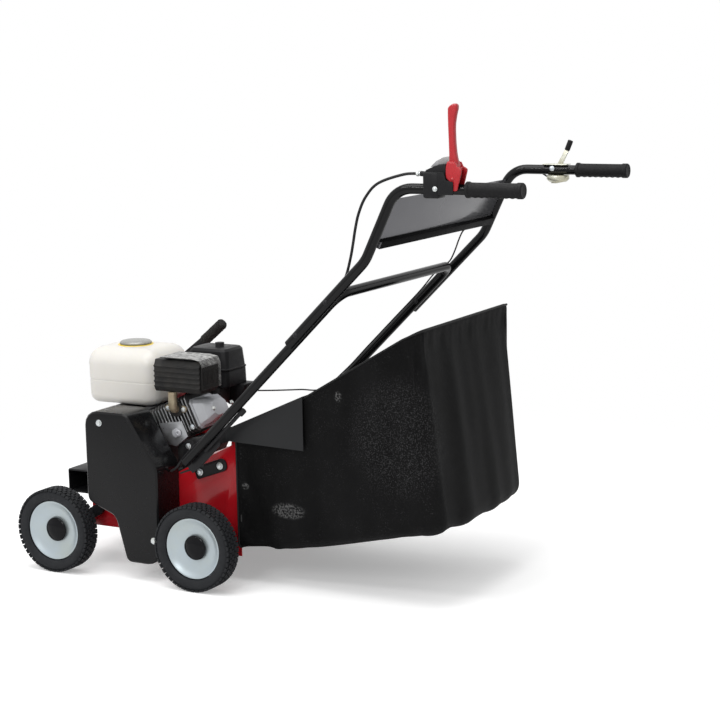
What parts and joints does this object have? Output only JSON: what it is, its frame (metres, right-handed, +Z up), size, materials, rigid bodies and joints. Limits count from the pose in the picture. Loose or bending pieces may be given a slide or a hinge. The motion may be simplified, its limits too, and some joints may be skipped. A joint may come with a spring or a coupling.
{
  "type": "lawn aerator",
  "caption": "Walk-behind petrol lawn aerator with a knife rotor under a pressed deck, a belt drive cover, folding tubular handle, depth lever and a fabric collecting bag on a rod frame.",
  "frame": {"origin": "on the ground, at the middle of the footprint box", "axes": "+X rearward to the operator's grips, +Y to the machine's right, +Z up"},
  "size_m": [1.302, 0.6518, 1.095],
  "materials": {
    "air_filter": "satin",
    "bag_cloth": "woven",
    "bag_frame": "satin",
    "belt_cover": "satin",
    "carburettor": "cast",
    "clutch_block": "satin",
    "clutch_cable": "matt",
    "clutch_lever": "semi-gloss",
    "crankcase": "cast",
    "deck": "gloss",
    "depth_grip": "matt",
    "depth_lever": "satin",
    "depth_quadrant": "satin",
    "drive_belt": "matt",
    "engine_pulley": "satin",
    "exhaust_pipe": "satin",
    "fan_cover": "satin",
    "finned_cylinder": "cast",
    "front_axle": "satin",
    "front_beam": "satin",
    "front_disc_left": "zinc plated",
    "front_disc_right": "zinc plated",
    "front_hub_cap_left": "satin",
    "front_hub_cap_right": "satin",
    "front_tyre_left": "matt",
    "front_tyre_right": "matt",
    "fuel_cap": "satin",
    "fuel_tank": "satin",
    "grip_left": "matt",
    "grip_right": "matt",
    "handle_bracket_left": "satin",
    "handle_bracket_right": "satin",
    "idler_arm": "satin",
    "idler_pulley": "satin",
    "knife_rotor": "satin",
    "lower_handle": "satin",
    "rear_axle": "satin",
    "rear_disc_left": "zinc plated",
    "rear_disc_right": "zinc plated",
    "rear_hood": "satin",
    "rear_hub_cap_left": "satin",
    "rear_hub_cap_right": "satin",
    "rear_tyre_left": "matt",
    "rear_tyre_right": "matt",
    "recoil_starter": "satin",
    "rocker_cover": "cast",
    "rotor_bearing_left": "satin",
    "rotor_bearing_right": "satin",
    "rotor_pulley": "satin",
    "rotor_shaft": "satin",
    "silencer": "satin",
    "silencer_guard": "satin",
    "starter_grip": "satin",
    "throttle_cable": "matt",
    "throttle_knob": "satin",
    "throttle_lever": "zinc plated",
    "throttle_mount": "zinc plated",
    "tool_panel": "satin",
    "upper_handle_left": "satin",
    "upper_handle_right": "satin"
  },
  "bodies": {
    "chassis": {"deck": "deck", "front_beam": "front_beam", "belt_cover": "belt_cover", "handle_bracket_left": "handle_bracket_left", "handle_bracket_right": "handle_bracket_right", "lower_handle": "lower_handle", "upper_handle_left": "upper_handle_left", "upper_handle_right": "upper_handle_right", "grip_left": "grip_left", "grip_right": "grip_right", "tool_panel": "tool_panel", "clutch_block": "clutch_block", "clutch_cable": "clutch_cable", "throttle_mount": "throttle_mount", "throttle_cable": "throttle_cable", "rear_axle": "rear_axle", "depth_quadrant": "depth_quadrant", "rotor_bearing_left": "rotor_bearing_left", "rotor_bearing_right": "rotor_bearing_right", "drive_belt": "drive_belt", "crankcase": "crankcase", "finned_cylinder": "finned_cylinder", "rocker_cover": "rocker_cover", "fuel_tank": "fuel_tank", "silencer": "silencer", "silencer_guard": "silencer_guard", "exhaust_pipe": "exhaust_pipe", "air_filter": "air_filter", "carburettor": "carburettor", "fan_cover": "fan_cover", "recoil_starter": "recoil_starter"},
    "rear_wheel_left": {"rear_disc_left": "rear_disc_left", "rear_tyre_left": "rear_tyre_left", "rear_hub_cap_left": "rear_hub_cap_left"},
    "rear_wheel_right": {"rear_disc_right": "rear_disc_right", "rear_tyre_right": "rear_tyre_right", "rear_hub_cap_right": "rear_hub_cap_right"},
    "front_axle": {"front_axle": "front_axle", "depth_lever": "depth_lever", "depth_grip": "depth_grip"},
    "front_wheel_left": {"front_disc_left": "front_disc_left", "front_tyre_left": "front_tyre_left", "front_hub_cap_left": "front_hub_cap_left"},
    "front_wheel_right": {"front_disc_right": "front_disc_right", "front_tyre_right": "front_tyre_right", "front_hub_cap_right": "front_hub_cap_right"},
    "rotor": {"rotor_shaft": "rotor_shaft", "knife_rotor": "knife_rotor", "rotor_pulley": "rotor_pulley"},
    "crank": {"engine_pulley": "engine_pulley"},
    "idler_arm": {"idler_arm": "idler_arm"},
    "idler_wheel": {"idler_pulley": "idler_pulley"},
    "clutch_lever": {"clutch_lever": "clutch_lever"},
    "throttle": {"throttle_lever": "throttle_lever", "throttle_knob": "throttle_knob"},
    "hood": {"rear_hood": "rear_hood"},
    "bag": {"bag_cloth": "bag_cloth", "bag_frame": "bag_frame"},
    "fuel_cap": {"fuel_cap": "fuel_cap"},
    "starter_grip": {"starter_grip": "starter_grip"}
  },
  "joints": [
    {"name": "rear_left_spin", "type": "hinge", "parent": "chassis", "child": "rear_wheel_left", "pos_m": [-0.16, -0.289, 0.1], "axis": [0, 1, 0], "continuous": true},
    {"name": "rear_right_spin", "type": "hinge", "parent": "chassis", "child": "rear_wheel_right", "pos_m": [-0.16, 0.289, 0.1], "axis": [0, 1, 0], "continuous": true},
    {"name": "front_axle_pivot", "type": "hinge", "parent": "chassis", "child": "front_axle", "pos_m": [-0.49, 0, 0.135], "axis": [0, 1, 0], "range_deg": [0, 20]},
    {"name": "front_left_spin", "type": "hinge", "parent": "front_axle", "child": "front_wheel_left", "pos_m": [-0.551, -0.289, 0.1], "axis": [0, 1, 0], "continuous": true},
    {"name": "front_right_spin", "type": "hinge", "parent": "front_axle", "child": "front_wheel_right", "pos_m": [-0.551, 0.289, 0.1], "axis": [0, 1, 0], "continuous": true},
    {"name": "rotor_spin", "type": "hinge", "parent": "chassis", "child": "rotor", "pos_m": [-0.32, 0, 0.1], "axis": [0, 1, 0], "continuous": true},
    {"name": "crankshaft_spin", "type": "hinge", "parent": "chassis", "child": "crank", "pos_m": [-0.405, -0.2117, 0.32], "axis": [0, 1, 0], "continuous": true},
    {"name": "idler_swing", "type": "hinge", "parent": "chassis", "child": "idler_arm", "pos_m": [-0.29, -0.23, 0.165], "axis": [0, -1, 0], "range_deg": [0, 10]},
    {"name": "idler_spin", "type": "hinge", "parent": "idler_arm", "child": "idler_wheel", "pos_m": [-0.2982, -0.235, 0.2328], "axis": [0, 1, 0], "continuous": true},
    {"name": "clutch_lever_pivot", "type": "hinge", "parent": "chassis", "child": "clutch_lever", "pos_m": [0.502, -0.297, 0.945], "axis": [0, 1, 0], "range_deg": [0, 80]},
    {"name": "throttle_pivot", "type": "hinge", "parent": "chassis", "child": "throttle", "pos_m": [0.48, 0.297, 0.9117], "axis": [0, 0, 1], "range_deg": [-35, 35]},
    {"name": "hood_hinge", "type": "hinge", "parent": "chassis", "child": "hood", "pos_m": [-0.114, 0, 0.347], "axis": [0, -1, 0], "range_deg": [0, 60]},
    {"name": "bag_lift_off", "type": "slide", "parent": "chassis", "child": "bag", "axis": [1, 0, 0], "range_m": [0, 0.25]},
    {"name": "fuel_cap_turn", "type": "hinge", "parent": "chassis", "child": "fuel_cap", "pos_m": [-0.4755, -0.05, 0.512], "axis": [0, 0, 1], "range_deg": [0, 90]},
    {"name": "starter_pull", "type": "slide", "parent": "chassis", "child": "starter_grip", "axis": [0.5665, 0, 0.824], "range_m": [0, 0.25], "stiffness_N_per_m": 20}
  ],
  "couplings": [
    {"joint": "crankshaft_spin", "follows": "rotor_spin", "ratio": 1.129},
    {"joint": "idler_swing", "follows": "clutch_lever_pivot", "ratio": 0.125}
  ]
}
